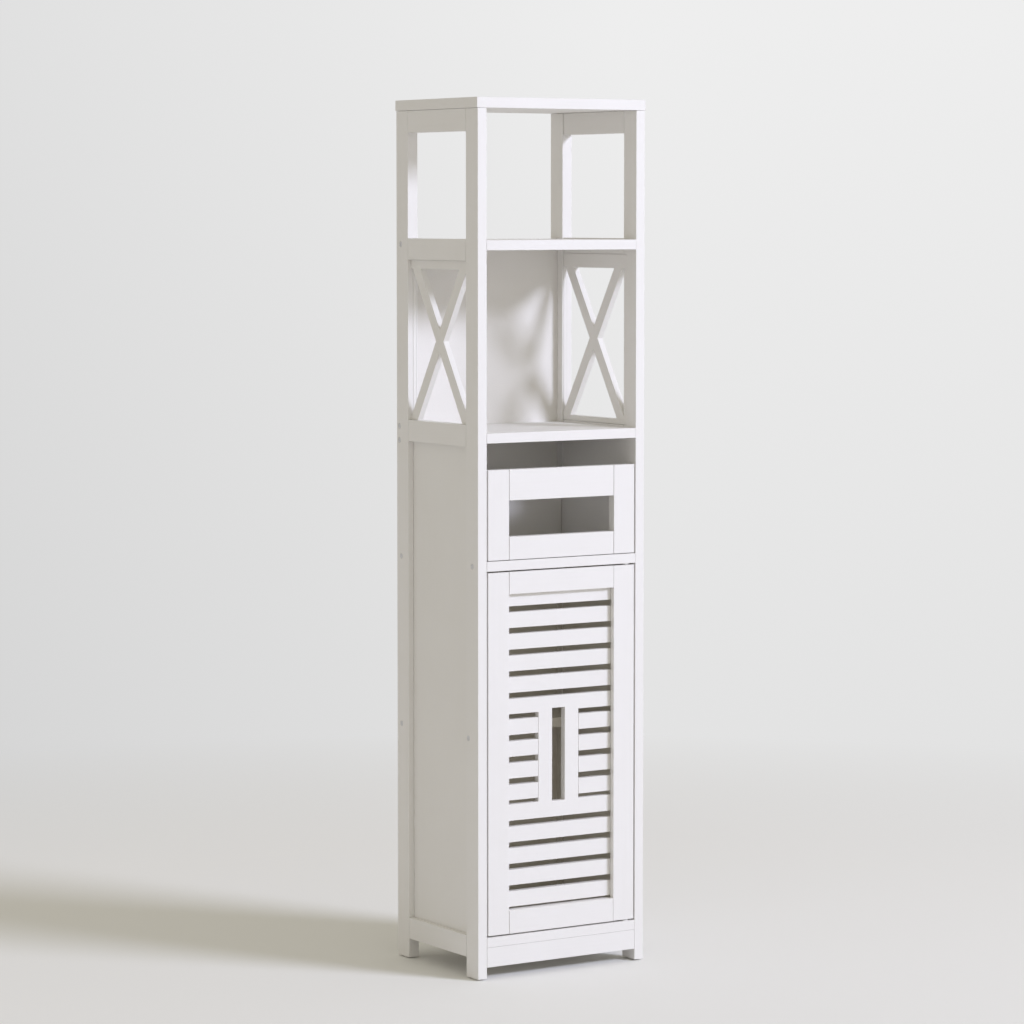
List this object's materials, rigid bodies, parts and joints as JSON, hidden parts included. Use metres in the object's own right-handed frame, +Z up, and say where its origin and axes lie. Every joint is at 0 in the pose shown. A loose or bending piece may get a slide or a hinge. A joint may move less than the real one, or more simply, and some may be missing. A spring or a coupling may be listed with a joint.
{
  "type": "column cabinet",
  "caption": "Tall narrow white column cabinet with open bays, cross-braced sides, an inset drawer and a slatted door with a slot handle.",
  "frame": {"origin": "on the floor, under the middle of the top panel", "axes": "+Z up, the front with the door and drawer faces -Y, +X is to the right when seen from the front"},
  "size_m": [0.32, 0.25, 1.4],
  "materials": {
    "white_boards": "white satin lacquer on fibreboard",
    "white_panels": "white satin lacquer on a thin board",
    "white_backs": "matt white paint on hardboard",
    "white_steel": "white coating",
    "zinc_steel": "bright zinc",
    "white_plastic": "moulded, fine grain",
    "beech": "bare, ribbed"
  },
  "bodies": {
    "carcass": {"top_panel": "white_boards", "left_front_leg": "white_boards", "right_front_leg": "white_boards", "left_rear_leg": "white_boards", "right_rear_leg": "white_boards", "left_top_rail": "white_boards", "right_top_rail": "white_boards", "left_upper_rail": "white_boards", "right_upper_rail": "white_boards", "left_middle_rail": "white_boards", "right_middle_rail": "white_boards", "left_bottom_rail": "white_boards", "right_bottom_rail": "white_boards", "left_cross_panel": "white_boards", "right_cross_panel": "white_boards", "left_side_panel": "white_panels", "right_side_panel": "white_panels", "upper_shelf": "white_boards", "middle_shelf": "white_boards", "drawer_shelf": "white_boards", "inner_shelf": "white_boards", "bottom_shelf": "white_boards", "front_apron": "white_boards", "rear_rail": "white_boards", "cross_bay_back": "white_backs", "drawer_bay_back": "white_backs", "upper_door_bay_back": "white_backs", "lower_door_bay_back": "white_backs", "left_runner": "white_plastic", "right_runner": "white_plastic", "hinge_bushes": "white_plastic", "catch_body": "white_plastic", "foot_glides": "white_plastic", "frame_screws": "white_steel", "frame_dowels": "beech", "runner_screws": "zinc_steel", "catch_screws": "zinc_steel"},
    "drawer": {"drawer_left_stile": "white_boards", "drawer_right_stile": "white_boards", "drawer_top_rail": "white_boards", "drawer_bottom_rail": "white_boards", "drawer_left_side": "white_boards", "drawer_right_side": "white_boards", "drawer_back": "white_boards", "drawer_bottom": "white_backs", "drawer_dowels": "beech", "drawer_screws": "zinc_steel"},
    "door": {"door_left_stile": "white_boards", "door_right_stile": "white_boards", "door_top_rail": "white_boards", "door_bottom_rail": "white_boards", "handle_board": "white_boards", "upper_slats": "white_boards", "lower_slats": "white_boards", "left_short_slats": "white_boards", "right_short_slats": "white_boards", "door_dowels": "beech", "hinge_pins": "zinc_steel", "strike_plate": "zinc_steel", "strike_screws": "zinc_steel"}
  },
  "joints": [
    {"name": "drawer_slide", "type": "slide", "parent": "carcass", "child": "drawer", "axis": [0, -1, 0], "range_m": [0, 0.15]},
    {"name": "door_hinge", "type": "hinge", "parent": "carcass", "child": "door", "pos_m": [0.126, -0.118, 0.36], "axis": [0, 0, 1], "range_deg": [0, 120]}
  ]
}
